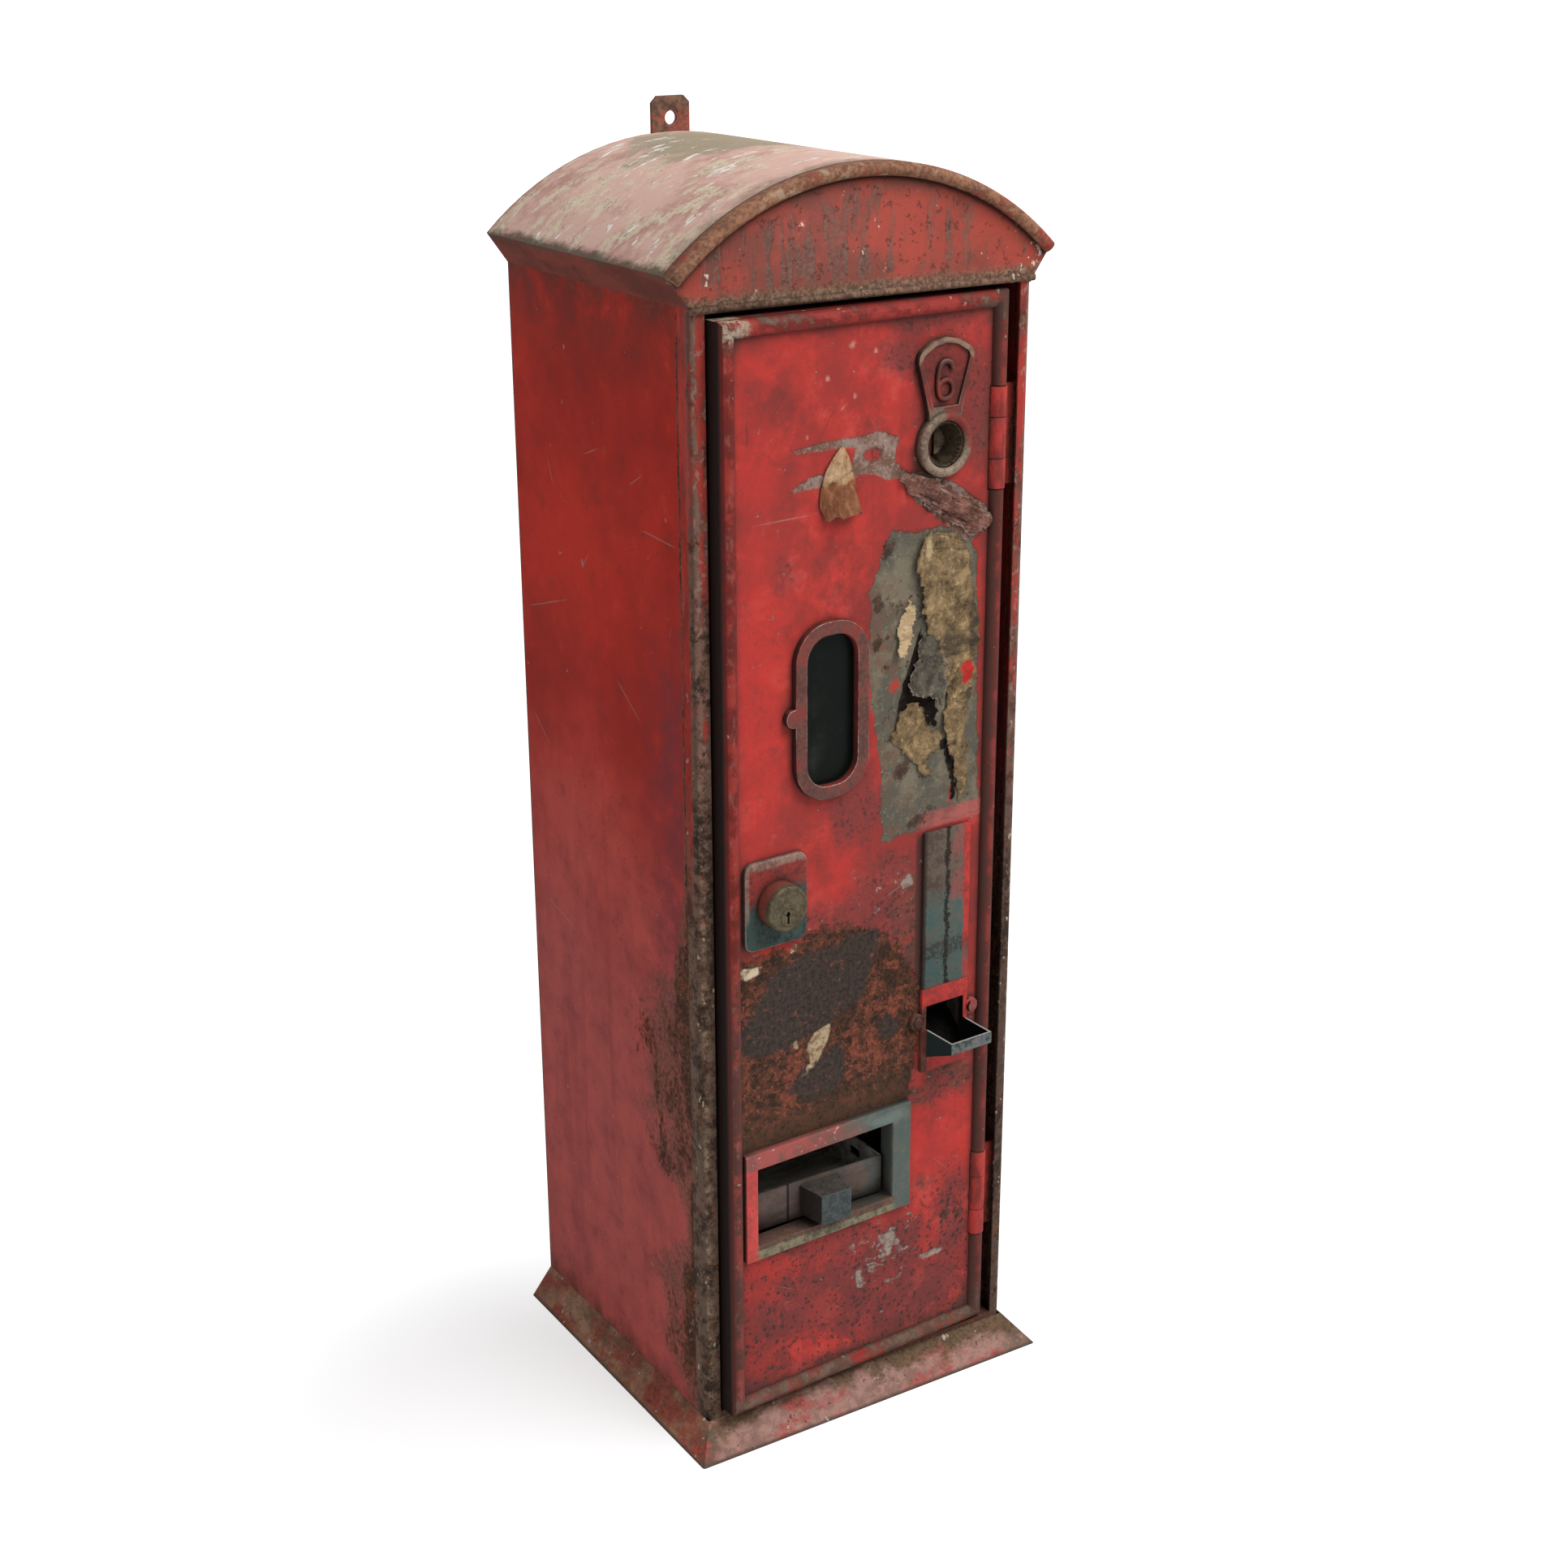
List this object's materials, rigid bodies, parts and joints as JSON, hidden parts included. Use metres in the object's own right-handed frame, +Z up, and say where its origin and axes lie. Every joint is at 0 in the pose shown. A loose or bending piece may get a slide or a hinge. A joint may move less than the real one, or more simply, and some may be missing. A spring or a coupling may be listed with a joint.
{
  "type": "cigarette dispenser",
  "caption": "Upright sheet-steel coin cigarette dispenser with barrel roof, flared skirt, hinged door with lock, stock window, coin entry and return scoop, and a pull-out packet drawer.",
  "frame": {"origin": "middle of the cabinet's footprint on the underside of its floor plate", "axes": "+Z up; -Y is the front with the door; +X is the hinge side, to the viewer's right; the door is stored ajar"},
  "size_m": [0.258, 0.2495, 0.8],
  "materials": {
    "red_paint": "worn red enamel over steel",
    "dark_red_paint": "dull, scratched brown-red enamel",
    "faded_paint": "faded pinkish paint with grime",
    "teal_paint": "grey-teal paint, rubbed",
    "rusty_steel": "brown rusted sheet",
    "bare_steel": "bare, dulled steel",
    "tinned_sheet": "dull galvanised sheet",
    "brass": "tarnished brass",
    "cast_iron": "dark cast iron",
    "glass": "dusty clear glass"
  },
  "bodies": {
    "cabinet": {"floor_plate": "rusty_steel", "skirt_front_strip": "red_paint", "skirt_left_strip": "dark_red_paint", "skirt_right_strip": "dark_red_paint", "front_sill": "dark_red_paint", "side_panel_left": "dark_red_paint", "side_panel_right": "dark_red_paint", "front_stile_left": "dark_red_paint", "front_stile_right": "dark_red_paint", "back_panel": "rusty_steel", "roof_vault": "faded_paint", "roof_rim": "rusty_steel", "gable_panel": "red_paint", "hanging_strap": "rusty_steel", "strap_rivets": "bare_steel", "upper_fixed_leaf": "red_paint", "lower_fixed_leaf": "red_paint", "hinge_pins": "bare_steel", "lock_keeper": "bare_steel", "upper_cross_rail": "tinned_sheet", "lower_cross_rail": "tinned_sheet", "packet_column": "tinned_sheet", "drawer_shelf": "tinned_sheet", "drawer_guides": "bare_steel", "pawl_pin": "bare_steel", "cash_box": "tinned_sheet"},
    "door": {"door_panel": "red_paint", "door_bars": "dark_red_paint", "door_bead": "red_paint", "upper_door_leaf": "red_paint", "lower_door_leaf": "red_paint", "lock_plate": "teal_paint", "lock_cylinder": "brass", "lock_nut": "brass", "window_frame": "red_paint", "window_glass": "glass", "glass_retainer": "tinned_sheet", "coin_escutcheon": "red_paint", "coin_cup": "brass", "flap_pin": "bare_steel", "coin_chute": "tinned_sheet", "coin_ramp": "tinned_sheet", "gate_pin": "bare_steel", "chute_cover": "teal_paint", "return_scoop": "red_paint", "scoop_screws": "bare_steel", "drawer_bezel": "teal_paint"},
    "lock": {"lock_plug": "brass", "lock_cam": "bare_steel"},
    "coin_flap": {"coin_flap": "brass"},
    "coin_gate": {"coin_gate": "brass"},
    "drawer": {"drawer_tray": "tinned_sheet", "drawer_front": "teal_paint", "drawer_knob": "cast_iron", "knob_screw": "bare_steel"},
    "follower": {"follower_weight": "cast_iron", "follower_rod": "bare_steel"},
    "pawl": {"drawer_pawl": "brass"}
  },
  "joints": [
    {"name": "door_hinge", "type": "hinge", "parent": "cabinet", "child": "door", "pos_m": [0.092, -0.106, 0.368], "axis": [0, 0, 1], "range_deg": [-3, 105]},
    {"name": "lock_turn", "type": "hinge", "parent": "door", "child": "lock", "pos_m": [-0.06828, -0.1144, 0.3585], "axis": [0.0523, -0.9986, 0], "range_deg": [0, 90]},
    {"name": "coin_flap_swing", "type": "hinge", "parent": "door", "child": "coin_flap", "pos_m": [0.05001, -0.09578, 0.6317], "axis": [0.9986, 0.0523, 0], "range_deg": [0, 32]},
    {"name": "coin_gate_swing", "type": "hinge", "parent": "door", "child": "coin_gate", "pos_m": [0.05538, -0.07608, 0.3298], "axis": [0.9986, 0.0523, 0], "range_deg": [0, 45]},
    {"name": "drawer_slide", "type": "slide", "parent": "cabinet", "child": "drawer", "axis": [0, -1, 0], "range_m": [0, 0.065]},
    {"name": "follower_slide", "type": "slide", "parent": "cabinet", "child": "follower", "axis": [0, 0, 1], "range_m": [0, 0.4]},
    {"name": "pawl_swing", "type": "hinge", "parent": "cabinet", "child": "pawl", "pos_m": [0.033, -0.064, 0.155], "axis": [0, 0, 1], "range_deg": [-18, 0]}
  ]
}
